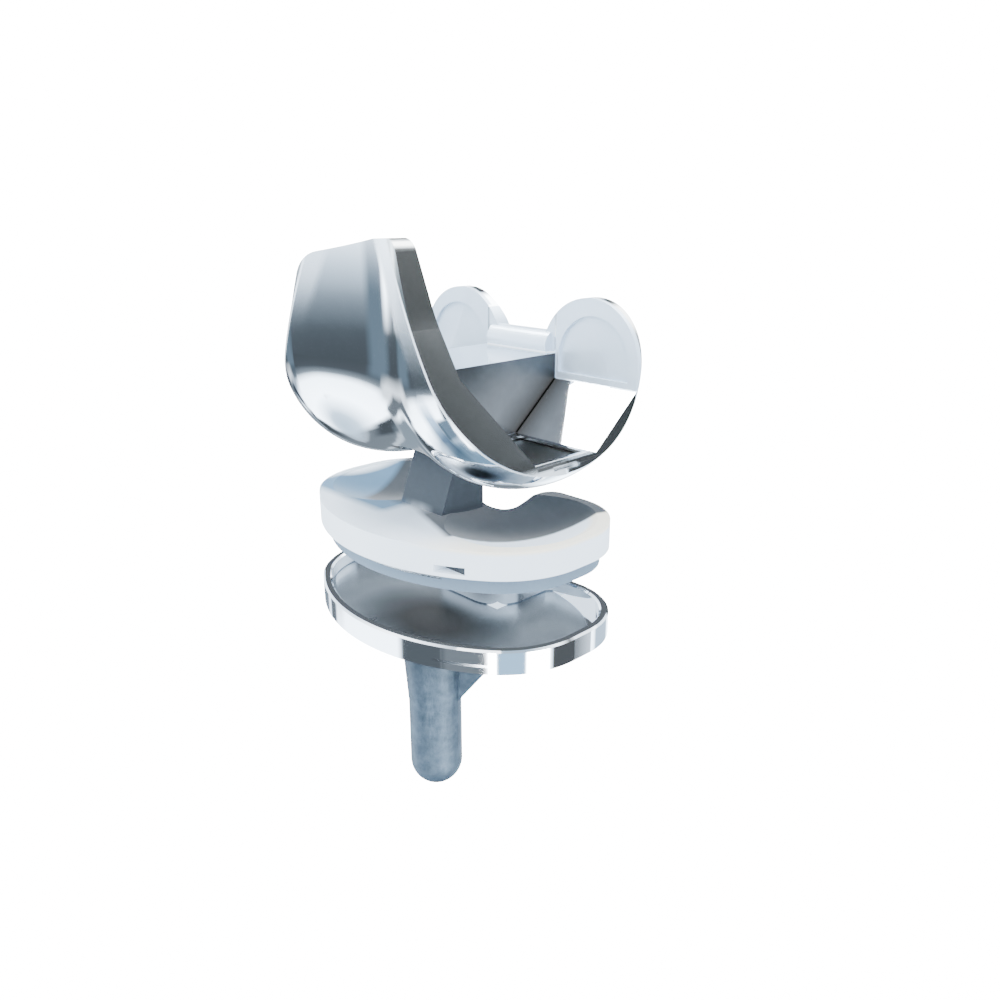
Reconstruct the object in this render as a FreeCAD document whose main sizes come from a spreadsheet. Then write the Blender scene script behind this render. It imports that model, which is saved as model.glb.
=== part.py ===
import FreeCAD, Part
import math
import os

import Sketcher

# A stabilised total knee replacement for a left knee, drawn exploded as on a product sheet.
# Frame: +X is lateral, +Y is posterior, +Z is proximal. The origin is where the stem axis
# meets the tray's underside. Every piece is drawn where it sits in the assembled knee, and
# its placement then lifts it to where it floats in the exploded view. Millimetres, degrees.
SIZES = [
    # Tibial tray
    ("tray_width", 72.0),
    ("tray_front", 25.8),  # from the widest line to the anterior edge
    ("tray_back", 20.8),  # from the widest line to the posterior edge
    ("widest_line_y", 6.5),  # the stem stands this far in front of the widest line
    ("front_side_radius", 20.5),
    ("corner_radius", 15.8),
    ("tray_height", 5.1),
    ("rim_width", 2.0),
    ("recess_depth", 3.4),
    ("notch_half_width", 10.0),
    ("notch_floor_y", 10.5),
    ("notch_radius", 6.0),
    ("notch_mouth_radius", 4.0),
    ("rim_chamfer", 0.4),
    # Stem with its two keel wings
    ("stem_flange_radius", 10.0),
    ("stem_flange_height", 0.8),
    ("stem_fit_clearance", 0.05),
    ("stem_top_radius", 7.6),
    ("stem_radius", 6.05),
    ("stem_cone_length", 21.5),
    ("stem_length", 43.2),
    ("wing_reach", 21.0),
    ("wing_drop", 20.5),
    ("wing_edge", 1.5),
    ("wing_thickness", 3.0),
    ("wing_sweep_angle", 30.0),  # posterior of the mediolateral line
    # Tibial insert
    ("insert_lift", 14.4),  # how far the insert floats above its seat
    ("seat_gap", 0.1),
    ("insert_inset", 0.4),
    ("band_height", 5.9),
    ("lip_clearance", 0.3),
    ("dish_depth", 3.6),
    ("dish_front_radius", 42.0),
    ("dish_back_radius", 40.0),
    ("dish_frontal_radius", 31.0),
    ("post_half_width", 6.7),
    ("post_front_y", -2.5),
    ("post_back_y", 9.3),
    ("post_height", 14.4),  # above the insert's rim
    ("post_top_front_y", 3.0),
    ("post_round", 2.0),
    ("slot_x", 21.3),
    ("slot_width", 5.6),
    ("slot_height", 1.5),
    ("slot_sill", 0.8),  # from the bottom of the band to the slot
    ("slot_depth", 2.0),
    # Post pin and locking wire
    ("pin_radius", 2.0),
    ("pin_length", 20.0),
    ("pin_clearance", 0.05),
    ("pin_chamfer", 0.4),
    ("wire_radius", 0.6),
    ("wire_clearance", 0.05),
    ("wire_bend_radius", 44.0),
    ("wire_half_angle", 24.0),
    ("wire_proud", 0.15),  # how far the wire stands out of the lip
    # Femoral component: articular surface
    ("femoral_lift", 10.9),  # how far it floats above its seat on the insert
    ("contact_gap", 0.3),
    ("distal_arc_y", 8.2),
    ("distal_radius", 31.3),
    ("posterior_radius", 22.65),
    ("posterior_blend", 21.5),  # where the distal arc ends, posterior of straight down
    ("anterior_radius", 24.9),
    ("anterior_blend", 19.2),  # where the distal arc ends, anterior of straight down
    ("flange_lean_angle", -0.8),
    ("condyle_half_spacing", 19.5),
    ("condyle_outer_radius", 18.7),
    ("condyle_inner_radius", 24.0),
    ("groove_depth", 2.8),
    ("femoral_width", 65.0),
    ("distal_thickness", 7.7),
    ("flange_height", 40.4),  # of its lateral corner above the distal cut
    ("flange_top_half_width", 14.6),
    ("flange_knee_x", 6.5),  # from here the top edge falls to the medial corner
    ("flange_knee_drop", 0.3),
    ("flange_medial_drop", 3.6),
    ("flange_lateral_round", 3.0),
    ("flange_medial_round", 7.0),
    ("flange_waist_height", 26.8),
    ("flange_waist_half_width", 18.5),
    ("flange_taper_drop", 2.3),  # the taper starts this far below the distal cut
    ("flange_taper_round", 20.0),
    ("tongue_radius", 13.0),
    ("tongue_centre_height", 14.7),
    # Femoral component: bone cuts, box and cam
    ("anterior_cut_y", -11.8),
    ("anterior_cut_angle", 6.0),
    ("anterior_chamfer_height", 16.5),
    ("distal_cut_front_y", -0.5),
    ("distal_cut_back_y", 15.3),
    ("posterior_chamfer_height", 10.3),
    ("posterior_cut_y", 27.5),
    ("box_half_width", 10.6),
    ("box_wall", 3.1),
    ("box_height", 15.5),  # of the roof above the distal cut
    ("roof_thickness", 3.0),
    ("roof_front_y", -8.0),
    ("cavity_front_y", -4.5),
    ("cam_radius", 3.2),
    ("cam_y", 28.8),
    ("cam_height", 16.9),  # of the cam's axis above the distal cut
    ("pocket_depth", 0.8),
    ("pocket_rim", 2.5),
    ("pocket_box_gap", 0.6),
    ("tool_slot_y", 7.3),
    ("tool_slot_drop", 1.1),  # from the distal cut down to the slot's middle
    ("tool_slot_length", 6.6),
    ("tool_slot_height", 1.3),
    ("tool_slot_depth", 1.2),
]

X_AXIS = FreeCAD.Vector(1, 0, 0)
Y_AXIS = FreeCAD.Vector(0, 1, 0)
Z_AXIS = FreeCAD.Vector(0, 0, 1)
FULL_TURN = 360.0

os.makedirs("parts", exist_ok=True)
doc = FreeCAD.newDocument("knee")

# Driving dimensions
sheet = doc.addObject("Spreadsheet::Sheet", "sheet")
for row, (alias, value) in enumerate(SIZES, start=1):
    sheet.set(f"A{row}", alias)
    sheet.set(f"B{row}", str(value))
    sheet.setAlias(f"B{row}", alias)
doc.recompute()


def size(alias):
    return float(sheet.get(alias))


# Small sketch helpers
def arc_through(centre, radius, start, end):
    """Arc of a circle about centre, counterclockwise from start to end, in degrees."""
    circle = Part.Circle(FreeCAD.Vector(*centre, 0), Z_AXIS, radius)
    return Part.ArcOfCircle(circle, math.radians(start), math.radians(end))


def line(p, q):
    return Part.LineSegment(FreeCAD.Vector(*p, 0), FreeCAD.Vector(*q, 0))


def rounded_path(points, radii, closed=True):
    """Lines through the points, with each corner rounded to its radius by a tangent arc."""
    vectors = [FreeCAD.Vector(*p, 0) for p in points]
    count = len(vectors)
    entries = []
    exits = []
    arcs = []
    for i, corner in enumerate(vectors):
        radius = radii[i]
        if radius <= 0 or (not closed and i in (0, count - 1)):
            entries.append(corner)
            exits.append(corner)
            arcs.append(None)
            continue
        back = (vectors[i - 1] - corner).normalize()
        ahead = (vectors[(i + 1) % count] - corner).normalize()
        half = back.getAngle(ahead) / 2
        reach = radius / math.tan(half)
        centre = corner + (back + ahead).normalize() * (radius / math.sin(half))
        entry = corner + back * reach
        leave = corner + ahead * reach
        middle = centre + (corner - centre).normalize() * radius
        entries.append(entry)
        exits.append(leave)
        arcs.append(Part.Arc(entry, middle, leave))
    pieces = []
    last = count if closed else count - 1
    for i in range(count):
        if arcs[i] is not None:
            pieces.append(arcs[i])
        if i < last:
            pieces.append(Part.LineSegment(exits[i], entries[(i + 1) % count]))
    return pieces


def sketch(body, name, role, placement, pieces):
    """Sketch of the given curves on one of the body's origin planes, moved to placement."""
    plane = next(f for f in body.Origin.OriginFeatures if f.Role == role)
    item = body.newObject("Sketcher::SketchObject", name)
    item.AttachmentSupport = [(plane, "")]
    item.MapMode = "FlatFace"
    item.AttachmentOffset = plane.Placement.inverse().multiply(placement)
    for piece in pieces:
        index = item.addGeometry(piece, False)
        item.addConstraint(Sketcher.Constraint("Block", index))
    return item


def level(height):
    """Placement of a horizontal sketch at a height."""
    return FreeCAD.Placement(FreeCAD.Vector(0, 0, height), FreeCAD.Rotation())


def frontal(y, height=0.0):
    """Placement of a sketch that runs along X and Z, at a given Y."""
    return FreeCAD.Placement(FreeCAD.Vector(0, y, height), FreeCAD.Rotation(X_AXIS, 90))


def sagittal(x=0.0):
    """Placement of a sketch that runs along Y and Z, at a given X."""
    turn = FreeCAD.Rotation(Y_AXIS, Z_AXIS, X_AXIS, "ZXY")
    return FreeCAD.Placement(FreeCAD.Vector(x, 0, 0), turn)


def feature(body, kind, name, profile, **settings):
    """One solid feature of a body, with lengths and angles given as numbers or sheet names."""
    item = body.newObject(kind, name)
    item.Profile = profile
    for key, value in settings.items():
        if isinstance(value, str) and key in ("Length", "Angle"):
            item.setExpression(key, value)
        else:
            setattr(item, key, value)
    doc.recompute()
    return item


def new_body(label):
    body = doc.addObject("PartDesign::Body", label)
    body.Label = label
    return body


def circle(centre, radius):
    return Part.Circle(FreeCAD.Vector(*centre, 0), Z_AXIS, radius)


def chamfer_edges(body, name, base, chosen, width_name):
    """Chamfer the edges of the body's last feature for which chosen(edge) is true."""
    names = [f"Edge{i}" for i, edge in enumerate(base.Shape.Edges, start=1) if chosen(edge)]
    item = body.newObject("PartDesign::Chamfer", name)
    item.Base = (base, names)
    item.setExpression("Size", width_name)
    doc.recompute()
    return item


def lies_at(height):
    """Test for edges that lie wholly at one height."""
    return lambda edge: max(abs(v.Z - height) for v in edge.Vertexes) < 1e-4


# Heights in the assembled knee
tray_top = size("tray_height")
seat_z = tray_top + size("seat_gap")
band_top = seat_z + size("band_height")
post_top = band_top + size("post_height")
dish_bottom = band_top - size("dish_depth")
lip_inset = size("rim_width") + size("lip_clearance")

# The femoral component's distal cut, and the centre of the distal arc of its joint surface
distal_cut = dish_bottom + size("contact_gap") + size("distal_thickness")
distal_y = size("distal_arc_y")
distal_z = dish_bottom + size("contact_gap") + size("distal_radius")


def arc_centre(radius_name, angle):
    """Centre of an arc that takes over smoothly from the distal arc at an angle."""
    step = size("distal_radius") - size(radius_name)
    turn = math.radians(angle)
    return distal_y + step * math.sin(turn), distal_z - step * math.cos(turn)


def front_arc():
    """Radius and centre height of the tray's wide front arc, tangent to its two side arcs."""
    half = size("tray_width") / 2
    depth = size("tray_front")
    side = size("front_side_radius")
    radius = (half ** 2 + depth ** 2 - 2 * half * side) / (2 * (depth - side))
    return radius, size("widest_line_y") - depth + radius


def plate_outline(inset):
    """The outline that the tray, its recess and the insert share, inset from the tray's edge."""
    half = size("tray_width") / 2
    middle = size("widest_line_y")
    wide, wide_y = front_arc()
    side = size("front_side_radius")
    side_x = half - side
    turn = math.degrees(math.atan2(wide_y - middle, side_x))
    back = middle + size("tray_back") - inset
    corner = size("corner_radius")
    corner_x = half - corner
    corner_y = middle + size("tray_back") - corner
    notch_x = size("notch_half_width") + inset
    notch_y = size("notch_floor_y") - inset
    mouth = size("notch_mouth_radius") - inset
    floor = size("notch_radius") + inset
    notch = rounded_path(
        [(-corner_x, back), (-notch_x, back), (-notch_x, notch_y),
         (notch_x, notch_y), (notch_x, back), (corner_x, back)],
        [0, mouth, floor, floor, mouth, 0],
        closed=False,
    )
    return [
        arc_through((-side_x, middle), side - inset, 180, 180 + turn),
        arc_through((0, wide_y), wide - inset, 180 + turn, 360 - turn),
        arc_through((side_x, middle), side - inset, -turn, 0),
        line((half - inset, middle), (half - inset, corner_y)),
        arc_through((corner_x, corner_y), corner - inset, 0, 90),
        *notch,
        arc_through((-corner_x, corner_y), corner - inset, 90, 180),
        line((inset - half, corner_y), (inset - half, middle)),
    ]


def make_tray():
    """Polished tray with a raised rim, a smooth recess and a register for the stem."""
    body = new_body("tibial_tray")
    outline = sketch(body, "tray_outline", "XY_Plane", level(0), plate_outline(0))
    feature(body, "PartDesign::Pad", "tray_plate", outline, Length="sheet.tray_height")
    inner = plate_outline(size("rim_width"))
    inner = sketch(body, "recess_outline", "XY_Plane", level(tray_top), inner)
    feature(body, "PartDesign::Pocket", "tray_recess", inner, Length="sheet.recess_depth")
    seat = [circle((0, 0), size("stem_flange_radius") + size("stem_fit_clearance"))]
    seat = sketch(body, "register_outline", "XY_Plane", level(0), seat)
    last = feature(
        body, "PartDesign::Pocket", "stem_register", seat,
        Length="sheet.stem_flange_height", Reversed=True,
    )
    chamfer_edges(body, "rim_chamfer", last, lies_at(tray_top), "sheet.rim_chamfer")
    return body


def make_stem():
    """Blasted stem: a flange in the tray's register, a cone, a round tip and two keel wings."""
    body = new_body("tibial_stem")
    radius = size("stem_radius")
    dome = -(size("stem_length") - radius)
    flange = size("stem_flange_radius")
    top = size("stem_flange_height")
    half_profile = [
        line((0, top), (flange, top)),
        line((flange, top), (flange, 0)),
        line((flange, 0), (size("stem_top_radius"), 0)),
        line((size("stem_top_radius"), 0), (radius, -size("stem_cone_length"))),
        line((radius, -size("stem_cone_length")), (radius, dome)),
        arc_through((0, dome), radius, -90, 0),
        line((0, dome - radius), (0, top)),
    ]
    half_profile = sketch(body, "stem_profile", "XZ_Plane", frontal(0), half_profile)
    feature(
        body, "PartDesign::Revolution", "stem_turned", half_profile,
        ReferenceAxis=(half_profile, ["V_Axis"]), Angle=FULL_TURN,
    )
    reach = size("wing_reach")
    drop = -size("wing_drop")
    for side, turn in (("lateral", 0), ("medial", 180)):
        sweep = abs(turn - size("wing_sweep_angle"))
        upright = FreeCAD.Rotation(Z_AXIS, sweep).multiply(FreeCAD.Rotation(X_AXIS, 90))
        outline = rounded_path(
            [(0, 0), (reach, 0), (reach, -size("wing_edge")), (radius, drop), (0, drop)],
            [0, 0, 0, 0, 0],
        )
        place = FreeCAD.Placement(FreeCAD.Vector(), upright)
        outline = sketch(body, f"{side}_wing_outline", "XZ_Plane", place, outline)
        feature(
            body, "PartDesign::Pad", f"{side}_wing", outline,
            Length="sheet.wing_thickness", Midplane=True,
        )
    return body


# Enough of a turn to carry a dish's cutter past the insert's edges
DISH_SWEEP = 60.0


def cut_dish(body, side, name, radius_name, forward):
    """One half of a dish: the frontal arc swept about a cross axis, to the front or the back."""
    radius = size(radius_name)
    frontal_radius = size("dish_frontal_radius")
    depth = size("dish_depth") + size("seat_gap")
    half = math.degrees(math.acos(1 - depth / frontal_radius))
    centre = (0, frontal_radius - radius)
    rim_x = frontal_radius * math.sin(math.radians(half))
    pieces = [
        arc_through(centre, frontal_radius, -90 - half, -90 + half),
        line((rim_x, depth - radius), (-rim_x, depth - radius)),
    ]
    place = frontal(distal_y, dish_bottom + radius)
    place.Base.x = side * size("condyle_half_spacing")
    profile = sketch(body, f"{name}_profile", "XZ_Plane", place, pieces)
    feature(
        body, "PartDesign::Groove", name, profile,
        ReferenceAxis=(profile, ["H_Axis"]), Angle=DISH_SWEEP, Reversed=forward,
    )


def wire_ring(body, name, radius):
    """Round section of the locking wire or its groove, with the bend's centre at its origin."""
    lip_front = size("widest_line_y") - size("tray_front") + lip_inset
    bend = size("wire_bend_radius")
    centre_y = lip_front + size("wire_radius") - size("wire_proud") + bend
    place = sagittal()
    place.Base = FreeCAD.Vector(0, centre_y, seat_z - 1.5 * size("wire_radius"))
    return sketch(body, name, "YZ_Plane", place, [circle((-bend, 0), radius)])


def make_insert():
    """Polyethylene insert: band and lip, two dishes, and the post with a bore for its pin."""
    body = new_body("tibial_insert")
    band = sketch(body, "band_outline", "XY_Plane", level(seat_z), plate_outline(size("insert_inset")))
    feature(body, "PartDesign::Pad", "band", band, Length="sheet.band_height")
    lip = sketch(body, "lip_outline", "XY_Plane", level(seat_z), plate_outline(lip_inset))
    feature(body, "PartDesign::Pad", "lip", lip, Length="sheet.recess_depth", Reversed=True)
    for side, word in ((1, "lateral"), (-1, "medial")):
        cut_dish(body, side, f"{word}_front_dish", "dish_front_radius", True)
        cut_dish(body, side, f"{word}_back_dish", "dish_back_radius", False)
    top_round = size("post_round")
    post = rounded_path(
        [(size("post_front_y"), seat_z), (size("post_back_y"), seat_z), (size("post_back_y"), post_top),
         (size("post_top_front_y"), post_top), (size("post_front_y"), band_top)],
        [0, 0, top_round, top_round, 0],
    )
    post = sketch(body, "post_outline", "YZ_Plane", sagittal(), post)
    feature(body, "PartDesign::Pad", "post", post, Length="sheet.post_half_width * 2", Midplane=True)
    bore = [circle((0, pin_y), size("pin_radius") + size("pin_clearance"))]
    bore = sketch(body, "bore_outline", "XY_Plane", level(post_top), bore)
    feature(body, "PartDesign::Pocket", "pin_bore", bore, Length="sheet.pin_length + sheet.seat_gap")
    groove = wire_ring(body, "wire_groove_section", size("wire_radius") + size("wire_clearance"))
    feature(
        body, "PartDesign::Groove", "wire_groove", groove,
        ReferenceAxis=(groove, ["V_Axis"]), Angle="sheet.wire_half_angle * 2 + 1", Midplane=True,
    )
    wide, wide_y = front_arc()
    face_y = wide_y - math.sqrt((wide - size("insert_inset")) ** 2 - size("slot_x") ** 2)
    left = size("slot_x") - size("slot_width") / 2
    right = size("slot_x") + size("slot_width") / 2
    low = seat_z + size("slot_sill")
    high = low + size("slot_height")
    slot = rounded_path([(left, low), (right, low), (right, high), (left, high)], [0, 0, 0, 0])
    slot = sketch(body, "slot_outline", "XZ_Plane", frontal(face_y + size("slot_depth")), slot)
    feature(body, "PartDesign::Pocket", "front_slot", slot, Length="sheet.tray_front", Reversed=True)
    return body


pin_y = (size("post_top_front_y") + size("post_back_y")) / 2


def make_pin():
    """Metal pin that stiffens the post."""
    body = new_body("insert_post_pin")
    section = [circle((0, pin_y), size("pin_radius"))]
    section = sketch(body, "pin_section", "XY_Plane", level(post_top - size("pin_length")), section)
    shank = feature(body, "PartDesign::Pad", "pin_shank", section, Length="sheet.pin_length")
    chamfer_edges(body, "pin_ends", shank, lambda edge: edge.isClosed(), "sheet.pin_chamfer")
    return body


def make_wire():
    """Locking wire that lies in the front of the insert's lip."""
    body = new_body("locking_wire")
    section = wire_ring(body, "wire_section", size("wire_radius"))
    feature(
        body, "PartDesign::Revolution", "wire_bend", section,
        ReferenceAxis=(section, ["V_Axis"]), Angle="sheet.wire_half_angle * 2", Midplane=True,
    )
    return body


# Room that the trimming cuts leave beyond the part on every side
FAR = 150.0
# Width that the side cuts trim off the turned condyles
TRIM = 1.0


def articular_profile(radius):
    """Frontal section of the joint surface: two condyle bumps and the groove between them."""
    spacing = size("condyle_half_spacing")
    outer = size("condyle_outer_radius")
    inner = size("condyle_inner_radius")
    depth = size("groove_depth")
    groove = (spacing ** 2 + depth ** 2) / (2 * depth) - inner
    meet_x = spacing * groove / (groove + inner)
    inner_turn = math.degrees(math.asin((spacing - meet_x) / inner))
    groove_turn = math.degrees(math.asin(meet_x / groove))
    edge_x = size("femoral_width") / 2 + TRIM
    edge_turn = math.degrees(math.acos((edge_x - spacing) / outer))
    edge_r = radius - outer + math.sqrt(outer ** 2 - (edge_x - spacing) ** 2)
    return [
        arc_through((spacing, radius - outer), outer, edge_turn, 90),
        arc_through((spacing, radius - inner), inner, 90, 90 + inner_turn),
        arc_through((0, radius - depth + groove), groove, -90 - groove_turn, -90 + groove_turn),
        arc_through((-spacing, radius - inner), inner, 90 - inner_turn, 90),
        arc_through((-spacing, radius - outer), outer, 90, 180 - edge_turn),
        line((-edge_x, edge_r), (-edge_x, 0)),
        line((-edge_x, 0), (edge_x, 0)),
        line((edge_x, 0), (edge_x, edge_r)),
    ]


def spoke(y, z, angle):
    """Placement of a sketch whose upright axis points along an angle in the sagittal plane."""
    return FreeCAD.Placement(FreeCAD.Vector(0, y, z), FreeCAD.Rotation(X_AXIS, angle))


def frame_around(pieces):
    """The curves with a rectangle far outside them, for cutting away all that is beyond them."""
    corners = [(-FAR, -FAR), (FAR, -FAR), (FAR, FAR), (-FAR, FAR)]
    return rounded_path(corners, [0, 0, 0, 0]) + pieces


def flange_outline():
    """Frontal outline of the front half: it narrows upward and stands higher laterally."""
    half = size("femoral_width") / 2
    low = distal_cut - FAR / 2
    taper = distal_cut - size("flange_taper_drop")
    waist = distal_cut + size("flange_waist_height")
    waist_half = size("flange_waist_half_width")
    top = distal_cut + size("flange_height")
    top_half = size("flange_top_half_width")
    bend = size("flange_taper_round")
    return rounded_path(
        [(-half, low), (half, low), (half, taper), (waist_half, waist), (top_half, top),
         (size("flange_knee_x"), top - size("flange_knee_drop")),
         (-top_half, top - size("flange_medial_drop")), (-waist_half, waist), (-half, taper)],
        [0, 0, bend, bend, size("flange_lateral_round"), size("flange_medial_round"),
         size("flange_medial_round"), bend, bend],
    )


def tongue_outline():
    """Frontal outline of the back half: two round-topped posterior condyles."""
    half = size("femoral_width") / 2
    low = distal_cut - FAR / 2
    radius = size("tongue_radius")
    centre_x = half - radius
    centre_z = distal_cut + size("tongue_centre_height")
    inner_x = centre_x - radius
    return [
        line((-half, low), (half, low)),
        line((half, low), (half, centre_z)),
        arc_through((centre_x, centre_z), radius, 0, 180),
        line((inner_x, centre_z), (-inner_x, centre_z)),
        arc_through((-centre_x, centre_z), radius, 0, 180),
        line((-half, centre_z), (-half, low)),
    ]


def make_femoral():
    """Femoral component: joint surface, bone cuts, intercondylar box and cam."""
    body = new_body("femoral_component")
    cut, revolve, pad = "PartDesign::Pocket", "PartDesign::Revolution", "PartDesign::Pad"
    half = size("femoral_width") / 2

    # Joint surface: posterior, distal and anterior arcs, then the straight flange
    posterior = arc_centre("posterior_radius", size("posterior_blend"))
    anterior = arc_centre("anterior_radius", -size("anterior_blend"))
    back_end = size("posterior_blend") - 90
    front_end = -size("anterior_blend") - 90
    arcs = [
        ("posterior", posterior, back_end, FULL_TURN / 2, False),
        ("distal", (distal_y, distal_z), back_end, "sheet.posterior_blend + sheet.anterior_blend", True),
        ("anterior", anterior, front_end, "90 + sheet.flange_lean_angle - sheet.anterior_blend", True),
    ]
    for word, centre, start, sweep, forward in arcs:
        sector = articular_profile(size(f"{word}_radius"))
        sector = sketch(body, f"{word}_profile", "XZ_Plane", spoke(*centre, start), sector)
        feature(
            body, revolve, f"{word}_arc", sector,
            ReferenceAxis=(sector, ["H_Axis"]), Angle=sweep, Reversed=forward,
        )
    flange_end = -180 - size("flange_lean_angle")
    slab = articular_profile(size("anterior_radius"))
    slab = sketch(body, "flange_profile", "XZ_Plane", spoke(*anterior, flange_end), slab)
    feature(body, pad, "flange", slab, Length="sheet.flange_height", Reversed=True)

    # Bone cuts
    front = size("anterior_cut_y")
    back = size("posterior_cut_y")
    chamfer_top = distal_cut + size("anterior_chamfer_height")
    lean = math.tan(math.radians(size("anterior_cut_angle")))
    bone = rounded_path(
        [(front - (FAR - chamfer_top) * lean, FAR), (front, chamfer_top),
         (size("distal_cut_front_y"), distal_cut), (size("distal_cut_back_y"), distal_cut),
         (back, distal_cut + size("posterior_chamfer_height")), (back, FAR)],
        [0, 0, 0, 0, 0, 0],
    )
    bone = sketch(body, "bone_outline", "YZ_Plane", sagittal(), bone)
    feature(body, cut, "bone_cuts", bone, Type="ThroughAll", Midplane=True)

    # Outlines seen from the front, for the flange and for the posterior condyles
    split = frontal((size("distal_cut_front_y") + size("distal_cut_back_y")) / 2)
    flange = sketch(body, "flange_outline", "XZ_Plane", split, frame_around(flange_outline()))
    feature(body, cut, "flange_sides", flange, Type="ThroughAll", Reversed=True)
    tongue = sketch(body, "tongue_outline", "XZ_Plane", split, frame_around(tongue_outline()))
    feature(body, cut, "condyle_sides", tongue, Type="ThroughAll")

    # Intercondylar box, open below and behind
    roof = distal_cut + size("box_height")
    sunk = distal_cut - size("roof_thickness")
    box = rounded_path(
        [(size("roof_front_y"), roof), (front, distal_cut + size("posterior_chamfer_height")),
         (size("distal_cut_front_y"), sunk), (size("distal_cut_back_y"), sunk),
         (back, distal_cut + size("roof_thickness")), (back, roof)],
        [0, 0, 0, 0, 0, 0],
    )
    box = sketch(body, "box_outline", "YZ_Plane", sagittal(), box)
    feature(body, pad, "box", box, Length="sheet.box_half_width * 2", Midplane=True)
    ceiling = roof - size("roof_thickness")
    notch = size("cavity_front_y")
    cavity = rounded_path(
        [(size("roof_front_y") + size("roof_thickness"), ceiling), (back, ceiling), (back, FAR),
         (FAR, FAR), (FAR, -FAR), (notch, -FAR), (notch, distal_cut)],
        [0, 0, 0, 0, 0, 0, 0],
    )
    cavity = sketch(body, "cavity_outline", "YZ_Plane", sagittal(), cavity)
    feature(
        body, cut, "cavity", cavity,
        Length="(sheet.box_half_width - sheet.box_wall) * 2", Midplane=True,
    )
    cam = [circle((size("cam_y"), distal_cut + size("cam_height")), size("cam_radius"))]
    cam = sketch(body, "cam_section", "YZ_Plane", sagittal(), cam)
    feature(body, pad, "cam", cam, Length="sheet.box_half_width * 2 - sheet.box_wall", Midplane=True)

    # Shallow cement pockets in the distal and posterior bone faces, and side slots for a tool
    rim = size("pocket_rim")
    beside_box = size("box_half_width") + size("pocket_box_gap")
    radius = (half - rim - beside_box) / 2
    centre_x = beside_box + radius
    centre_z = distal_cut + size("tongue_centre_height")
    pocket_low = distal_cut + size("posterior_chamfer_height") + rim / 2
    for side, word in ((1, "lateral"), (-1, "medial")):
        left = side * centre_x - radius
        right = side * centre_x + radius
        shield = [
            arc_through((side * centre_x, centre_z), radius, 0, 180),
            line((left, centre_z), (left, pocket_low)),
            line((left, pocket_low), (right, pocket_low)),
            line((right, pocket_low), (right, centre_z)),
        ]
        shield = sketch(body, f"{word}_posterior_pocket_outline", "XZ_Plane", frontal(back), shield)
        feature(body, cut, f"{word}_posterior_pocket", shield, Length="sheet.pocket_depth")
        near = side * (size("box_half_width") + rim)
        wide = side * (half - rim)
        first = size("distal_cut_front_y") + rim / 2
        last = size("distal_cut_back_y") - rim / 2
        patch = rounded_path([(near, first), (wide, first), (wide, last), (near, last)], [0, 0, 0, 0])
        patch = sketch(body, f"{word}_distal_pocket_outline", "XY_Plane", level(distal_cut), patch)
        feature(body, cut, f"{word}_distal_pocket", patch, Length="sheet.pocket_depth")
        middle = distal_cut - size("tool_slot_drop")
        slot_y = size("tool_slot_y")
        reach = size("tool_slot_length") / 2
        rise = size("tool_slot_height") / 2
        slot = rounded_path(
            [(slot_y - reach, middle - rise), (slot_y + reach, middle - rise),
             (slot_y + reach, middle + rise), (slot_y - reach, middle + rise)],
            [0, 0, 0, 0],
        )
        slot = sketch(body, f"{word}_tool_slot_outline", "YZ_Plane", sagittal(side * half), slot)
        feature(
            body, cut, f"{word}_tool_slot", slot,
            Length="sheet.tool_slot_depth", Reversed=side < 0,
        )
    return body


# Lifts of the exploded view, for each sub-part
LIFTS = {
    "tibial_tray": (make_tray, "0"),
    "tibial_stem": (make_stem, "0"),
    "tibial_insert": (make_insert, "sheet.insert_lift"),
    "locking_wire": (make_wire, "sheet.insert_lift"),
    "insert_post_pin": (make_pin, "sheet.insert_lift + sheet.femoral_lift"),
    "femoral_component": (make_femoral, "sheet.insert_lift + sheet.femoral_lift"),
}
nodes = []
for label, (make, lift) in LIFTS.items():
    piece = make()
    piece.setExpression("Placement.Base.z", lift)
    nodes.append(piece)
doc.recompute()

for item in doc.Objects:
    if "Invalid" in item.State or "Error" in item.State:
        raise RuntimeError(f"{item.Name} failed: {item.State}")
for piece in nodes:
    if piece.Shape.isNull() or not piece.Shape.isValid():
        raise RuntimeError(f"{piece.Label} has no valid shape")
    if len(piece.Shape.Solids) != 1:
        raise RuntimeError(f"{piece.Label} is in {len(piece.Shape.Solids)} solids")
    piece.Shape.exportStep(f"parts/{piece.Label}.step")
    print(piece.Label, round(piece.Shape.Volume, 1), "mm3")
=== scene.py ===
# %% [markdown]
# # A knee implant, drawn exploded
#
# The object is a stabilised total knee replacement for a left knee. A mirror-polished femoral
# component floats above a milky plastic insert, and the insert floats above a polished tray on
# a blasted stem. The measured solids already have every piece's size, place and smooth curves,
# so the lesson is about the rest: finishes that change from zone to zone on one piece, and a
# studio whose reflections look like those of a product photograph.

# %% Load the measured model
import math

import bpy
from mathutils import Matrix, Vector


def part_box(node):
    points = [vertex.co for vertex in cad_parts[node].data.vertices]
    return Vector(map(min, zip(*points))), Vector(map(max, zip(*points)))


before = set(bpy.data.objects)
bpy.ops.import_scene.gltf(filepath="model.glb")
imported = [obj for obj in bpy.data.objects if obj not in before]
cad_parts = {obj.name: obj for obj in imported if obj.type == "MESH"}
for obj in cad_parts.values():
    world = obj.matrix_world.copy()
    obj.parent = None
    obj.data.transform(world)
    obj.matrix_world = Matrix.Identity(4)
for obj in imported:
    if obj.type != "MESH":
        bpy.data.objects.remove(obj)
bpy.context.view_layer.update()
MM = 0.001


def mm(*sizes):
    """Sizes in millimetres, turned into the frame's metres."""
    return tuple(size * MM for size in sizes)


print("pieces:", sorted(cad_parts))

# %% [markdown]
# ## The camera
#
# The photograph was taken from close by with a fairly wide lens, from the front and the lateral
# side and a little above the knee. A camera can be placed by eye or by matching edges. Here the
# tray's outline was matched, which fixes the place, the direction and the lens together.

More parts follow.
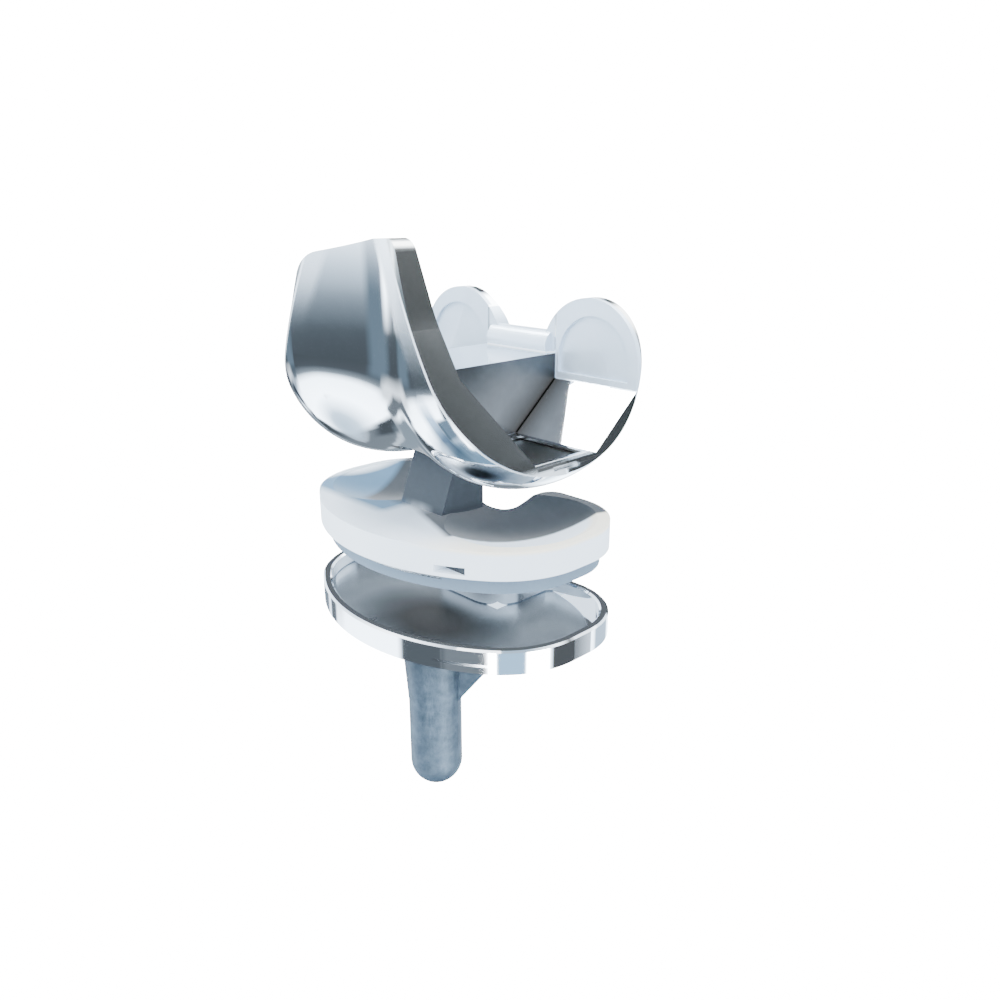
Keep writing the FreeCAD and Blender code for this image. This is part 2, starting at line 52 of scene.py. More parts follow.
# %% Camera
CAMERA_PLACE = Vector((136.19, -112.84, 86.28)) * MM
CAMERA_AZIMUTH = math.radians(45.5)
CAMERA_ELEVATION = math.radians(18.65)
LENS = 31.35
NEAREST_SEEN = 0.01

right = Vector((math.cos(CAMERA_AZIMUTH), math.sin(CAMERA_AZIMUTH), 0))
backward = Vector((
    math.sin(CAMERA_AZIMUTH) * math.cos(CAMERA_ELEVATION),
    -math.cos(CAMERA_AZIMUTH) * math.cos(CAMERA_ELEVATION),
    math.sin(CAMERA_ELEVATION),
))
upward = backward.cross(right)
bpy.ops.object.camera_add(location=CAMERA_PLACE)
camera = bpy.context.object
camera.rotation_euler = Matrix((right, upward, backward)).transposed().to_euler()
camera.data.lens = LENS
camera.data.clip_start = NEAREST_SEEN
bpy.context.scene.camera = camera
print("camera at", [round(v, 4) for v in camera.location])

# %% [markdown]
# ## Writing shaders as sums
#
# A finish is a small net of nodes. Wiring it by hand is slow to read, so one class stands for
# a value that varies over the surface and builds Math nodes when it is added or multiplied,
# and another holds the net and makes every other node.

# %% Shader helpers
MIX_FACTOR, MIX_FIRST, MIX_SECOND = 0, 6, 7
MIX_RESULT = 2
MASK_EDGE = 0.05 * MM
SLAB = 0.3 * MM


class Varying:
    """A number that varies over a surface. Sums with it build Math nodes."""

    def __init__(self, net, socket):
        self.net = net
        self.socket = socket

    def sum(self, operation, first, second, clamp=False):
        settings = {"operation": operation, "use_clamp": clamp}
        return self.net.value("ShaderNodeMath", settings, {0: first, 1: second})

    def __add__(self, other):
        return self.sum("ADD", self, other)

    __radd__ = __add__

    def __sub__(self, other):
        return self.sum("SUBTRACT", self, other)

    def __rsub__(self, other):
        return self.sum("SUBTRACT", other, self)

    def __mul__(self, other):
        return self.sum("MULTIPLY", self, other)

    __rmul__ = __mul__

    def __pow__(self, other):
        return self.sum("POWER", self, other)

    def __truediv__(self, other):
        return self.sum("DIVIDE", self, other)

    def clamped(self):
        return self.sum("ADD", self, 0.0, clamp=True)

    def size(self):
        return self.sum("ABSOLUTE", self, 0.0)

    def rise(self, start, end):
        """0 below start and 1 above end, with a straight run between."""
        return ((self - start) / (end - start)).clamped()

    def fall(self, start, end):
        """1 below start and 0 above end."""
        return 1 - self.rise(start, end)

    def slab(self, low, high):
        """1 between two limits and 0 beyond them, with crisp edges."""
        return self.rise(low, low + MASK_EDGE) * self.fall(high, high + MASK_EDGE)

    def near(self, plane):
        """1 in a thin slab around one plane."""
        return self.slab(plane - SLAB, plane + SLAB)


class Net:
    """The nodes of one material or of the world."""

    def __init__(self, owner):
        owner.use_nodes = True
        self.tree = owner.node_tree
        self.tree.nodes.clear()

    def add(self, kind, settings=None, inputs=None):
        node = self.tree.nodes.new(kind)
        for name, value in (settings or {}).items():
            if name == "stops":
                self.set_stops(node.color_ramp, value)
            else:
                setattr(node, name, value)
        for name, value in (inputs or {}).items():
            if isinstance(value, Varying):
                self.tree.links.new(value.socket, node.inputs[name])
            else:
                node.inputs[name].default_value = value
        return node

    def value(self, kind, settings=None, inputs=None, output=0):
        return Varying(self, self.add(kind, settings, inputs).outputs[output])

    def set_stops(self, ramp, stops):
        while len(ramp.elements) > 1:
            ramp.elements.remove(ramp.elements[0])
        ramp.elements[0].position = stops[0][0]
        ramp.elements[0].color = stops[0][1]
        for place, colour in stops[1:]:
            ramp.elements.new(place).color = colour

    def split(self, vector):
        """The three parts of a vector, as three values."""
        parts = self.add("ShaderNodeSeparateXYZ", None, {0: vector})
        return [Varying(self, part) for part in parts.outputs]

    def coordinates(self):
        """The piece's own coordinates in metres: across, along and height."""
        return self.split(self.value("ShaderNodeTexCoord", output="Object"))

    def noise(self, scale, detail, roughness=0.5):
        """Soft noise on the piece's own coordinates, about 0.5 on average."""
        place = self.value("ShaderNodeTexCoord", output="Object")
        inputs = {"Vector": place, "Scale": scale, "Detail": detail, "Roughness": roughness}
        return self.value("ShaderNodeTexNoise", None, inputs)

    def blend(self, factor, first, second):
        """Mix of two colours."""
        inputs = {MIX_FACTOR: factor, MIX_FIRST: first, MIX_SECOND: second}
        return self.value("ShaderNodeMix", {"data_type": "RGBA"}, inputs, MIX_RESULT)

    def bump(self, height, distance, strength):
        inputs = {"Height": height, "Distance": distance, "Strength": strength}
        return self.value("ShaderNodeBump", None, inputs)

    def surface(self, shader, output_kind):
        """Joins a shader to the material's or the world's output."""
        output = self.add(output_kind)
        self.tree.links.new(shader.outputs[0], output.inputs["Surface"])


GREEN_SHARE = 0.35


def grey(level, blue):
    """A grey of this brightness, cooler where blue is above 0."""
    shift = blue * GREEN_SHARE
    return (level * (1 - blue), level * (1 - shift), level * (1 + shift), 1.0)


def finish(name, inputs):
    """A material made of one Principled shader, whose inputs may be numbers or nets."""
    material = bpy.data.materials.new(name)
    net = Net(material)
    inputs = inputs(net) if callable(inputs) else inputs
    net.surface(net.add("ShaderNodeBsdfPrincipled", None, inputs), "ShaderNodeOutputMaterial")
    print("finish", name, "with", len(net.tree.nodes), "nodes")
    return material


# %% [markdown]
# ## The mirror polish
#
# The alloy is polished like a mirror where it slides, which takes a metallic shader with very
# little roughness. Real polish still has a faint haze, so a slow noise moves the colour and
# the roughness a little. Both alloy pieces start from this polish.

# %% Mirror polish
# Noises are given as scale and detail, and some with their roughness
HAZE = (90.0, 4.0)
MIRROR_TINTS = grey(0.79, 0.06), grey(0.85, 0.04)
MIRROR_ROUGHNESS = 0.03
HAZE_ROUGHNESS = 0.05
GRAIN_DEPTH = 0.01 * MM


def mirror_polish(net):
    """Colour and roughness of the polished alloy."""
    haze = net.noise(*HAZE)
    return net.blend(haze, *MIRROR_TINTS), MIRROR_ROUGHNESS + haze * HAZE_ROUGHNESS


print("mirror polish between", [tuple(round(v, 3) for v in tint) for tint in MIRROR_TINTS])

# %% [markdown]
# ## The femoral component
#
# It is polished only where it slides. The faces that meet cement are blasted to a pale satin.
# The floor of its pocket and the walls of its box are painted darker, as shade in these
# recesses, and the walls darkest by the chamfer. The side faces are ground, and their tone is
# painted darker as shade and lighter towards the top as light. A dark streak on the polished
# flank is a painted reflection, and a thin pale line along each side face is a painted highlight.
# These zones could be separate materials on separate faces, but the solid is one piece with
# one slot. So each zone is found from the piece's own coordinates: a thin slab around the
# plane that it lies in, between limits. A pair of limits says where a zone starts to show and
# where it has its full strength. The side face leans, so its places are measured along its
# own direction.

# %% Femoral alloy
REAR_CUT_Y = 27.5 * MM
REAR_FLOOR_Y = 28.3 * MM
POCKET_FLOOR_Z = 40.0 * MM
BOX_SIDE_X = 10.6 * MM
ROOF_Z = 56.3 * MM

BEHIND_THE_FLANGE = mm(-9, -8)
REAR_FACE_FOOT = mm(49, 50)
POCKET_FRONT = mm(-1, 0)
WALL_FOOT = mm(40, 41)
BOX_FOOT = mm(42, 43)
MEDIAL_HALF = mm(0, 1)
SIDE_DIRECTION_X = 0.9
SIDE_DIRECTION_Z = 0.43
SIDE_FACE = mm(45.5, 45.7)
SIDE_FACE_WIDTH = mm(32.3, 32.45)
# Painted highlight: a thin pale, less metallic line along each side face's border, in place of a
# rounded edge's highlight.
PAINTED_HIGHLIGHT_EDGE = mm(45.05, 45.2)
PAINTED_HIGHLIGHT_EDGE_WIDTH = mm(31.9, 32.05)
FLANK = mm(40, 42)
FLANK_FOOT = mm(54, 68)
MEDIAL_DROP = 10 * MM
# Painted reflection: a dark streak on the polished flank, near the side face.
STREAK_INNER = mm(39.3, 41)
STREAK_OUTER = mm(42.3, 43.3)
STREAK_FOOT = mm(42, 47)
STREAK_TOP = mm(51, 56)
SIDE_GETS_LIGHTER = mm(62, 80)
CHAMFER_DIRECTION_Y = 0.65
CHAMFER_DIRECTION_Z = 0.76
CHAMFER_PLACE = 21 * MM
CHAMFER_SHADE = mm(0, 7)

CEMENT_CLOUD = (160.0, 3.0)
CEMENT_GRAIN = (5000.0, 3.0)
HIGHLIGHT_STRENGTH = 0.8
CLOUD_SHARE = 0.2
GRAIN_SHARE = 0.2
HEIGHT_SHARE = 0.9
METAL_LOST = 0.6
SIDE_ROUGHNESS = 0.12
SATIN_ROUGHNESS = 0.26
MATTE_ROUGHNESS = 0.22
CLOUD_ROUGHNESS = 0.1
# Painted reflection: the dark streak's tint.
DARK_REFLECTION_TINT = grey(0.18, 0.35)
# A pale satin tint for the flank, which also paints the highlight along the side faces' border.
SATIN_AND_HIGHLIGHT_TINT = grey(0.96, 0.06)
# Painted shade and light: the ground side faces are darker than the alloy, and lighter towards the
# top.
GROUND_FACE_SHADE_TINTS = (0.24, 0.25, 0.25, 1.0), (0.48, 0.49, 0.48, 1.0)
CEMENT_TINTS = grey(0.74, 0.22), grey(0.84, 0.18)
# Painted shade: the pocket floor and the box walls are darker, as shade in these recesses, and the
# walls darkest by the chamfer.
POCKET_SHADE_TINTS = (0.045, 0.045, 0.043, 1.0), (0.10, 0.10, 0.095, 1.0)
WALL_SHADE_TINTS = grey(0.08, 0.08), grey(0.14, 0.07)
CHAMFER_SHADE_TINT = (0.03, 0.027, 0.024, 1.0)


def femoral_inputs(net):
    across, along, height = net.coordinates()
    mirror, roughness = mirror_polish(net)
    cloud = net.noise(*CEMENT_CLOUD)
    grain = net.noise(*CEMENT_GRAIN)
    aside = across.size()
    behind = along.rise(*BEHIND_THE_FLANGE)
    ahead = 1 - behind

    rear = along.slab(REAR_CUT_Y - SLAB, REAR_FLOOR_Y + SLAB)
    rear = rear * height.rise(*REAR_FACE_FOOT) * aside.rise(BOX_SIDE_X - SLAB, BOX_SIDE_X)
    pocket = height.near(POCKET_FLOOR_Z) * along.rise(*POCKET_FRONT)
    wall = aside.near(BOX_SIDE_X) * height.rise(*WALL_FOOT)
    wall = wall * behind * along.fall(REAR_CUT_Y - SLAB, REAR_CUT_Y)
    inside = aside.fall(BOX_SIDE_X - 2 * SLAB, BOX_SIDE_X - SLAB) * behind
    inside = inside * height.rise(*BOX_FOOT) * (1 - height.near(ROOF_Z))

    lean = aside * SIDE_DIRECTION_X + height * SIDE_DIRECTION_Z
    side = (lean.rise(*SIDE_FACE) + aside.rise(*SIDE_FACE_WIDTH)).clamped()
    # Painted highlight along the side face's border.
    edge = (lean.rise(*PAINTED_HIGHLIGHT_EDGE) + aside.rise(*PAINTED_HIGHLIGHT_EDGE_WIDTH)).clamped()
    edge = edge * (1 - side) * HIGHLIGHT_STRENGTH
    medial = across.fall(*MEDIAL_HALF)
    flank = lean.rise(*FLANK) * ahead * (1 - side)
    flank = flank * (height - medial * MEDIAL_DROP).rise(*FLANK_FOOT)
    streak = lean.rise(*STREAK_INNER) * lean.fall(*STREAK_OUTER)
    streak = streak * height.rise(*STREAK_FOOT) * height.fall(*STREAK_TOP) * ahead

    # Painted reflection: the dark streak on the mirror.
    colour = net.blend(streak, mirror, DARK_REFLECTION_TINT)
    colour = net.blend((flank + edge).clamped(), colour, SATIN_AND_HIGHLIGHT_TINT)
    # The side face's tone: grain, and painted light that lightens it towards the top.
    light = cloud * CLOUD_SHARE + grain * GRAIN_SHARE
    light = (light + height.rise(*SIDE_GETS_LIGHTER) * HEIGHT_SHARE).clamped()
    colour = net.blend(side, colour, net.blend(light, *GROUND_FACE_SHADE_TINTS))
    colour = net.blend((rear + inside).clamped(), colour, net.blend(cloud, *CEMENT_TINTS))
    # Painted shade on the pocket floor.
    colour = net.blend(pocket, colour, net.blend(cloud, *POCKET_SHADE_TINTS))
    over_chamfer = height * CHAMFER_DIRECTION_Z - along * CHAMFER_DIRECTION_Y - CHAMFER_PLACE
    # Painted shade on the box walls, darkest by the chamfer.
    wall_shade = net.blend(cloud, *WALL_SHADE_TINTS)
    wall_shade = net.blend(over_chamfer.rise(*CHAMFER_SHADE), CHAMFER_SHADE_TINT, wall_shade)
    matte = (rear + pocket + wall + inside).clamped()
    roughness = roughness + side * SIDE_ROUGHNESS + (flank + edge) * SATIN_ROUGHNESS
    return {
        "Base Color": net.blend(wall, colour, wall_shade),
        "Metallic": 1.0 - (rear + inside + edge).clamped() * METAL_LOST,
        "Roughness": roughness + matte * (MATTE_ROUGHNESS + cloud * CLOUD_ROUGHNESS),
        "Normal": net.bump(grain * matte, GRAIN_DEPTH, 0.5),
    }


femoral_alloy = finish("femoral_alloy", femoral_inputs)

# %% [markdown]
# ## The tray
#
# The tray's floor is lapped flat but not polished, so it shows the insert above it only as a
# soft shade, which is darkest in the middle. The floor ends at the raised rim, whose line is a
# rounded oval, flatter behind, and at the notch behind the stem.

# %% Tray alloy
TRAY_FLOOR_Z = 1.7 * MM
WIDEST_Y = 6.5 * MM
RIM_HALF_WIDTH = 35 * MM
RIM_FRONT_DEPTH = 24.8 * MM
RIM_REAR_DEPTH = 19.8 * MM
RIM_TURN = mm(-1, 1)
RIM_POWER = 2.2
RIM_LINE = (0.99, 1.01)
NOTCH_SIDE = mm(10.8, 11)
NOTCH_FRONT = mm(9.3, 9.5)
SHADE_MIDDLE = mm(5, -4)
SHADE_REACH = mm(22, 16)
SHADE_FADES = (0.1, 1.0)
LAPPED_CLOUD = (140.0, 3.0)
LAPPED_GRAIN = (6000.0, 3.0)
LAPPED_ROUGHNESS = 0.2
LAPPED_VARIES = 0.08
# Painted shade: the lapped floor is painted darker under the insert, darkest in the middle.
LAPPED_SHADE_TINTS = grey(0.24, 0.22), grey(0.30, 0.20)
SHADE_TINT = grey(0.02, 0.20)


def tray_inputs(net):
    across, along, height = net.coordinates()
    mirror, roughness = mirror_polish(net)
    cloud = net.noise(*LAPPED_CLOUD)
    grain = net.noise(*LAPPED_GRAIN)
    ahead = along - WIDEST_Y
    depth = RIM_FRONT_DEPTH - ahead.rise(*RIM_TURN) * (RIM_FRONT_DEPTH - RIM_REAR_DEPTH)
    oval = (across / RIM_HALF_WIDTH).size() ** RIM_POWER + (ahead / depth).size() ** RIM_POWER
    notch = across.size().fall(*NOTCH_SIDE) * along.rise(*NOTCH_FRONT)
    lapped = height.near(TRAY_FLOOR_Z) * oval.fall(*RIM_LINE) * (1 - notch)
    off_middle = ((across - SHADE_MIDDLE[0]) / SHADE_REACH[0]) ** 2
    off_middle = off_middle + ((along - SHADE_MIDDLE[1]) / SHADE_REACH[1]) ** 2
    # Painted shade of the insert on the lapped floor.
    tint = net.blend(off_middle.rise(*SHADE_FADES), SHADE_TINT, net.blend(cloud, *LAPPED_SHADE_TINTS))
    return {
        "Base Color": net.blend(lapped, mirror, tint),
        "Metallic": 1.0,
        "Roughness": roughness + lapped * (LAPPED_ROUGHNESS + cloud * LAPPED_VARIES),
        "Normal": net.bump(grain * lapped, GRAIN_DEPTH, 0.4),
    }


tray_alloy = finish("tray_alloy", tray_inputs)

# %% [markdown]
# ## The stem
#
# The stem is blasted with grit so that cement keys to it. Grit leaves a mottled grey with a
# grain of about a tenth of a millimetre, so two noises drive colour, roughness and height. The
# tray above shades the upper end.

# %% Blasted stem
UNDER_THE_TRAY = mm(-18, -5)
UNDER_TRAY_STRENGTH = 0.8
MOTTLE = (400.0, 4.0, 0.6)
GRIT = (5200.0, 2.0, 0.7)
PATCHES = (0.3, 0.7)
GRIT_DEPTH = 0.04 * MM
BLASTED_TINTS = grey(0.07, 0.42), grey(0.15, 0.36)
UNDER_TRAY_TINT = grey(0.04, 0.36)


def stem_inputs(net):
    mottle = net.noise(*MOTTLE)
    grit = net.noise(*GRIT)
    patch = (mottle * 0.7 + grit * 0.3).rise(*PATCHES)
    height = net.coordinates()[2]
    shaded = height.rise(*UNDER_THE_TRAY) * UNDER_TRAY_STRENGTH
    return {
        "Base Color": net.blend(shaded, net.blend(patch, *BLASTED_TINTS), UNDER_TRAY_TINT),
        "Metallic": 0.85,
        "Roughness": 0.5 + grit * 0.2,
        "Normal": net.bump(grit + mottle * 0.5, GRIT_DEPTH, 0.6),
    }


blasted_stem = finish("blasted_stem", stem_inputs)

# %% [markdown]
# ## The pin and the wire
#
# The pin inside the post and the locking wire in the lip are drawn and ground steel. Little of
# them shows, so a slow noise in colour and roughness is enough.

# %% Ground steel
STEEL_CLOUD = (300.0, 3.0)
# Painted shade: the steel is darker than bare steel, so that the wire reads dark inside its slot.
STEEL_SHADE_TINTS = grey(0.22, 0.12), grey(0.32, 0.10)


def steel_inputs(net):
    cloud = net.noise(*STEEL_CLOUD)
    return {
        "Base Color": net.blend(cloud, *STEEL_SHADE_TINTS),
        "Metallic": 1.0,
        "Roughness": 0.2 + cloud * 0.12,
    }


ground_steel = finish("ground_steel", steel_inputs)

# %% [markdown]
# ## The insert
#
# The insert is milled from a block of very dense polyethylene. It is milky, hardly glossy, and
# lets light sink in, which the shader calls subsurface scattering. The dishes carry a painted
# slate-blue shade of the alloy above them, which ends softly at the front and sharply along
# the inner edge of the rim. On the far dish the painted shade is a lighter blue, with a
# painted dark reflection of the post towards the middle. The post and the slot in the front
# stand in the same painted shade, and the lip below is painted darker and bluer, as shade under
# the band. The shade is held to the dishes by their own curve, so that it leaves the walls
# clean.

# %% Polyethylene
DISH_FLOOR_Z = 21.9 * MM
DISH_CENTRE_X = 19.5 * MM
DISH_CENTRE_Y = 8.2 * MM
DISH_RADIUS_ALONG = 41 * MM
DISH_RADIUS_ACROSS = 31 * MM
SLOT_FLOOR_Y = -11.6 * MM
SLOT_ACROSS = mm(18.4, 24.2)
SLOT_HEIGHT = mm(20.3, 22.0)

OVER_THE_DISH = mm(-0.7, -0.4)
DISH_RIM = mm(25.2, 25.4)
NEAR_DISH = mm(-5, 4)
NEAR_RIM_PLACE = 20.2 * MM
NEAR_RIM_TURN = 0.37
NEAR_RIM_LINE = mm(-0.5, 0.7)
NEAR_FRONT_PLACE = 3.6 * MM
NEAR_FRONT_TURN = 0.36
NEAR_FRONT_LINE = mm(-1.0, 0.8)
FAR_DISH = mm(-6, -3)
FAR_FRONT = mm(-11, -8)
FAR_SIDE = mm(-33.5, -31.5)
WEDGE_PLACE = 21.5 * MM
WEDGE_TURN = 0.57
WEDGE_LINE = mm(-1, 1)
WEDGE_FRONT = mm(-4.5, -1.5)
WEDGE_END = mm(-4, 0)
POST_FOOT = mm(25.5, 27)
LIP_TOP = mm(19.5, 19.7)
TOP_FACE = mm(25.3, 25.45)
TOP_FADES = mm(2, 20)
WARM_SIDE = mm(12, 26)
WARM_FOOT = mm(24.5, 25.2)

MILKY_CLOUD = (70.0, 3.0)
MILLING = (1800.0, 2.0)
MILKY_TINTS = grey(0.86, 0.12), grey(0.93, 0.08)
WARM_TINT = (0.95, 0.86, 0.70, 1.0)
TOP_TINT = grey(0.62, 0.14)
# Painted shade: the lip under the band is darker and bluer.
LIP_SHADE_TINT = grey(0.22, 0.34)
# Painted shade: the far dish in a lighter slate blue.
FAR_DISH_SHADE_TINTS = grey(0.16, 0.62), grey(0.22, 0.58)
# Painted shade on the near dish, and a painted reflection of the post on the far dish.
SLATE_SHADE_TINTS = grey(0.03, 0.28), grey(0.05, 0.24)
# Painted shade: the post and the slot in the front band.
POST_SHADE_TINTS = grey(0.045, 0.24), grey(0.07, 0.22)


def polyethylene_inputs(net):
    across, along, height = net.coordinates()
    cloud = net.noise(*MILKY_CLOUD)
    milling = net.noise(*MILLING)
    dish = (along - DISH_CENTRE_Y) ** 2 / (2 * DISH_RADIUS_ALONG)
    dish = dish + (across.size() - DISH_CENTRE_X) ** 2 / (2 * DISH_RADIUS_ACROSS) + DISH_FLOOR_Z
    upper = ((height - dish).rise(*OVER_THE_DISH) + height.rise(*DISH_RIM)).clamped()

    near = (NEAR_RIM_PLACE + along * NEAR_RIM_TURN - across).rise(*NEAR_RIM_LINE)
    near = near * (along + NEAR_FRONT_PLACE + across * NEAR_FRONT_TURN).rise(*NEAR_FRONT_LINE)
    near = near * across.rise(*NEAR_DISH) * upper
    far = across.fall(*FAR_DISH) * along.rise(*FAR_FRONT) * across.rise(*FAR_SIDE) * upper
    # Painted reflection of the post on the far dish.
    wedge = (across + along * WEDGE_TURN + WEDGE_PLACE).rise(*WEDGE_LINE)
    wedge = wedge * along.rise(*WEDGE_FRONT) * across.fall(*WEDGE_END) * upper
    post = height.rise(*POST_FOOT)
    slot = along.near(SLOT_FLOOR_Y) * across.slab(*SLOT_ACROSS) * height.slab(*SLOT_HEIGHT)
    warm = across.rise(*WARM_SIDE) * height.rise(*WARM_FOOT)
    top = height.rise(*TOP_FACE) * across.fall(*TOP_FADES)
    lip = height.fall(*LIP_TOP)

    colour = net.blend(cloud, *MILKY_TINTS)
    # The lip, the dishes, the post and the slot get painted shade and reflections here.
    for zone, tint in (
        (warm, WARM_TINT),
        (top, TOP_TINT),
        (lip, LIP_SHADE_TINT),
        (far, net.blend(cloud, *FAR_DISH_SHADE_TINTS)),
        ((near + wedge).clamped(), net.blend(cloud, *SLATE_SHADE_TINTS)),
        ((post + slot).clamped(), net.blend(cloud, *POST_SHADE_TINTS)),
    ):
        colour = net.blend(zone, colour, tint)
    return {
        "Base Color": colour,
        "Roughness": 0.4 + cloud * 0.1,
        "Specular IOR Level": 0.1,
        "Subsurface Weight": 0.15,
        "Subsurface Radius": (1.0, 1.0, 1.0),
        "Subsurface Scale": 1 * MM,
        "IOR": 1.54,
        "Normal": net.bump(milling, GRAIN_DEPTH, 0.3),
    }


polyethylene = finish("milled_polyethylene", polyethylene_inputs)

# %% [markdown]
# ## Dressing the measured solids
#
# The solids carry their exact surface directions, so their curves already look smooth. Each
# one only needs its finish. The insert is left out of mirror reflections, as a retoucher would
# do, so that the polished tray under it shows the studio.

# %% Give every solid its finish
WARDROBE = {
    "femoral_component": femoral_alloy,
    "tibial_tray": tray_alloy,
    "tibial_stem": blasted_stem,
    "tibial_insert": polyethylene,
    "insert_post_pin": ground_steel,
    "locking_wire": ground_steel,
}
for node, material in WARDROBE.items():
    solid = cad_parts[node]
    for slot in range(len(solid.data.materials)):
        solid.data.materials[slot] = material
    print(node, "wears", material.name)
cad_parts["tibial_insert"].visible_glossy = False

# %% [markdown]
# ## The floor
#
# A plain pale floor lies under the object and glows as white as the ground behind it, so that
# no horizon shows. It hides from mirror reflections, because the alloy has to show the
# studio's lights instead.

# %% Floor
FLOOR_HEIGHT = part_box("tibial_stem")[0].z - 30 * MM
FLOOR_RADIUS = 3.0
FLOOR_CORNERS = 64
WHITE_GLOW = 16.0
bpy.ops.object.select_all(action="DESELECT")
bpy.ops.mesh.primitive_circle_add(
    vertices=FLOOR_CORNERS, radius=FLOOR_RADIUS, fill_type="NGON", location=(0, 0, FLOOR_HEIGHT))
floor = bpy.context.object
floor.name = "studio_floor"
floor.visible_glossy = False
floor.visible_diffuse = False
pale = finish("studio_floor", {
    "Base Color": (0.9, 0.9, 0.9, 1.0),
    "Roughness": 0.9,
    "Specular IOR Level": 0.0,
    "Emission Color": (1.0, 1.0, 1.0, 1.0),
    "Emission Strength": WHITE_GLOW,
})
floor.data.materials.append(pale)
print("floor at", round(FLOOR_HEIGHT, 4))

# %% [markdown]
# ## The studio
#
# A mirror is only as good as what it reflects. Product studios surround polished metal with
# white boxes and dark gaps, and the gaps draw the form. They could be lamps and panels, but
# each of those would light the matte pieces too. Here the surroundings are painted on the
# world: a plain ground tone for each height, and soft-edged boxes and gaps laid over it. Tones
# are given as they look on the alloy in the finished picture, from 0 to 255, and turned into
# light by the picture's tone curve run backwards.

# %% Studio surroundings
# Elevation, tone and coolness of the ground
GROUND = [
    (-90, 178, 0.55), (-76, 174, 0.55), (-62, 194, 0.45), (-50, 218, 0.32), (-38, 242, 0.20),
    (-26, 240, 0.20), (-21, 166, 0.26), (-17, 100, 0.24), (-11, 90, 0.24), (-8.5, 100, 0.26),
    (-6.5, 160, 0.30), (-4.5, 212, 0.28), (-1, 236, 0.20), (12, 230, 0.20), (28, 226, 0.18),
    (42, 238, 0.10), (58, 196, 0.34), (90, 190, 0.36),
]
# Azimuth from +Y towards +X, elevation, half width, half height, tone, coolness, softness
BOXES_AND_GAPS = [
    ("grey sheet low on the far left", -62, -40, 26, 11, 142, 0.24, 9),
    ("gap inside that sheet", -82, -36, 8, 7, 90, 0.24, 5),
    ("light between gap and floor", -66, -22, 9, 4, 220, 0.10, 5),
    ("blue sheet by the ridge", -110, -10, 8, 7, 140, 0.40, 6),
    ("white strip on the ridge", -101, -2, 2.5, 4.5, 244, 0.16, 4),
    ("pale strip under the ridge", -97, -21, 8, 5, 219, 0.16, 6),
    ("grey sheet on the far left", -44, -20, 12, 9, 196, 0.14, 8),
    ("gap on the far left", -18, -6, 14, 15, 100, 0.20, 7),
    ("blue sheet at the back", 8, -27, 22, 8, 205, 0.34, 7),
    ("white strip on the left", -46, 8, 7, 7, 240, 0.06, 4),
    ("dark sheet above it", -50, 27, 24, 11, 112, 0.16, 5),
    ("grey sheet under the chamfer", -98, 40, 10, 8, 120, 0.08, 2.5),
    ("white box over the chamfer", -98, 56, 12, 7, 253, 0.00, 1.5),
    ("white box behind", 2, 44, 24, 14, 246, 0.02, 8),
    ("gap right of the camera", 52, 20, 16, 22, 108, 0.06, 8),
    ("grey sheet under that gap", 47, -11, 10, 7, 132, 0.10, 6),
    ("gap low on the right", 56, -30, 19, 9, 96, 0.14, 6),
    ("white box low on the right", 92, -31, 13, 10, 252, 0.02, 5),
    ("blue sheet by the camera", 124, -31, 17, 10, 204, 0.50, 4),
    ("white strip by the camera", 148, -31, 5, 10, 253, 0.02, 3),
    ("grey sheet behind the camera", 166, -29, 14, 12, 140, 0.22, 4),
    ("gap behind the camera", -169, -29, 14, 12, 104, 0.22, 4),
    ("blue sheet low on the left", -130, -66, 24, 8, 166, 0.50, 8),
    ("white box low behind the camera", -172, -54, 9, 13, 244, 0.16, 6),
    ("blue sheet in front of that box", -151, -47, 11, 8, 160, 0.46, 4),
    ("grey sheet for the tray's left", -60, -26, 22, 6, 160, 0.30, 6),
    ("gap for the tray's left", -90, -25, 5, 5, 132, 0.24, 3),
]
WHITEST = 255
TONE_KNEE = 0.2945
TONE_POWER = 1 / 0.81
ALLOY_SHARE = 0.82
FULL_TURN = 360
QUARTER_TURN = 90


def glow(tone, blue):
    """Brightness of a light whose reflection in the alloy has this tone."""
    share = tone / WHITEST
    level = (TONE_KNEE * share / (1 - share)) ** TONE_POWER
    return grey(level / ALLOY_SHARE, blue)


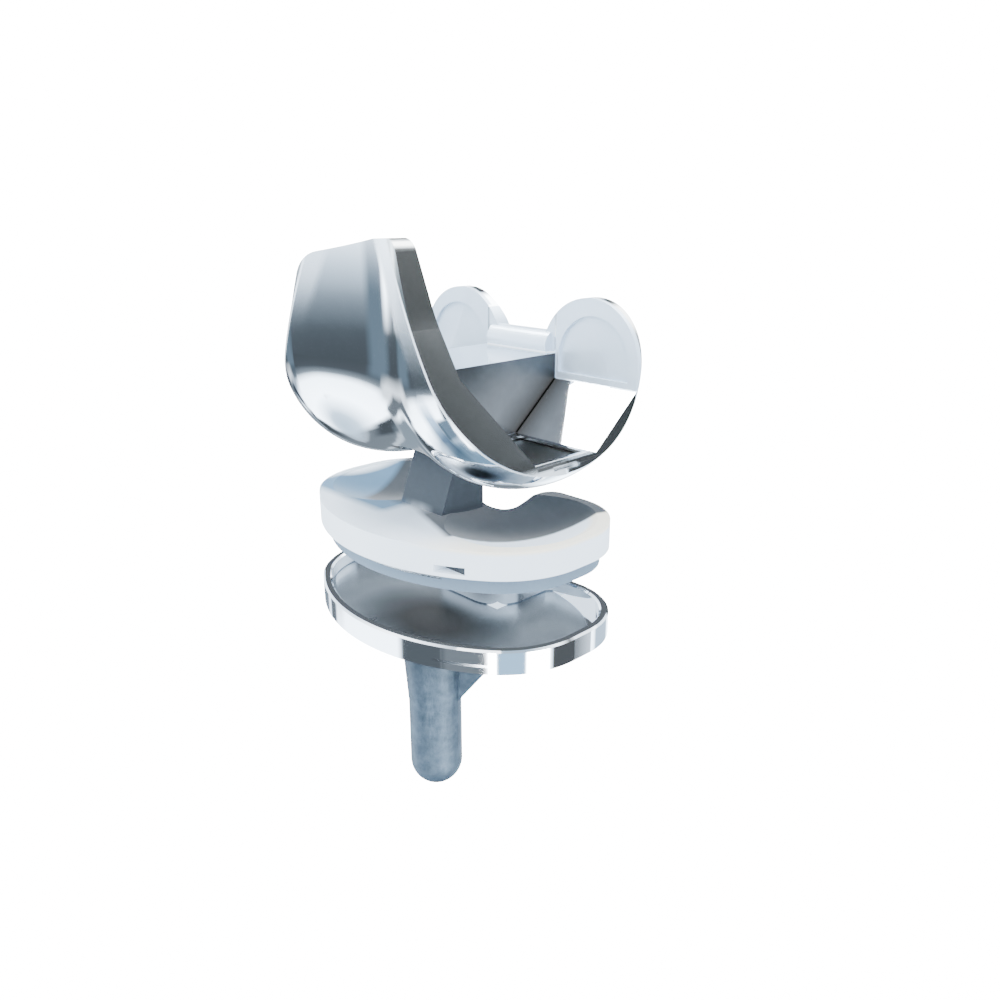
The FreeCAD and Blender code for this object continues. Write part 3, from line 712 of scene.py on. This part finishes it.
world = bpy.data.worlds.new("studio")
bpy.context.scene.world = world
net = Net(world)
across, along, height = net.split(net.value("ShaderNodeTexCoord", output="Generated"))
turns = net.value("ShaderNodeMath", {"operation": "ARCTAN2"}, {0: across, 1: along}) / math.tau
elevation = net.value("ShaderNodeMath", {"operation": "ARCSINE"}, {0: height}) * math.degrees(1)
stops = [((rise + QUARTER_TURN) / (2 * QUARTER_TURN), glow(tone, blue)) for rise, tone, blue in GROUND]
studio = net.value(
    "ShaderNodeValToRGB", {"stops": stops}, {0: elevation / (2 * QUARTER_TURN) + 0.5})
for _, azimuth, rise, half_width, half_height, tone, blue, soft in BOXES_AND_GAPS:
    from_centre = {0: turns - azimuth / FULL_TURN, 1: 0.5}
    aside = net.value("ShaderNodeMath", {"operation": "PINGPONG"}, from_centre)
    apart = (elevation - rise).size()
    within = (half_width / soft + 0.5 - aside * (FULL_TURN / soft)).clamped()
    level = (half_height / soft + 0.5 - apart / soft).clamped()
    studio = net.blend(within * level, studio, glow(tone, blue))
print("surroundings of", len(BOXES_AND_GAPS), "boxes and gaps")

# %% [markdown]
# ## The light tent
#
# The boxes and gaps are there for the mirror finishes. Matte surfaces take in an even white
# light instead, as from a light tent, and the camera sees plain white behind the object.

# %% Light tent and white ground
TENT_LIGHT = grey(4.0, 0.16)
CAMERA_GROUND = (19.0, 19.0, 19.0, 1.0)
by_matte = net.value("ShaderNodeLightPath", output="Is Diffuse Ray")
by_camera = net.value("ShaderNodeLightPath", output="Is Camera Ray")
shown = net.blend(by_matte, studio, TENT_LIGHT)
shown = net.blend(by_camera, shown, CAMERA_GROUND)
background = net.add("ShaderNodeBackground", None, {"Color": shown, "Strength": 1.0})
net.surface(background, "ShaderNodeOutputWorld")
print("world of", len(net.tree.nodes), "nodes")

# %% [markdown]
# ## The key light
#
# One soft lamp, a disk half a metre wide, stands in front on the upper left. It is weak: it
# only gives the matte stem and insert a lighter side.

# %% Soft key light
KEY_PLACE = (0.25, -0.55, 0.75)
KEY_AIM = (0, 0, 0.02)
KEY_WIDTH = 0.5
KEY_WATTS = 3.0
bpy.ops.object.light_add(type="AREA", location=KEY_PLACE)
key = bpy.context.object
key.name = "key_light"
key.data.shape = "DISK"
key.data.size = KEY_WIDTH
key.data.energy = KEY_WATTS
key.rotation_euler = (Vector(KEY_AIM) - key.location).to_track_quat("-Z", "Y").to_euler()
print("key light of", KEY_WATTS, "W")
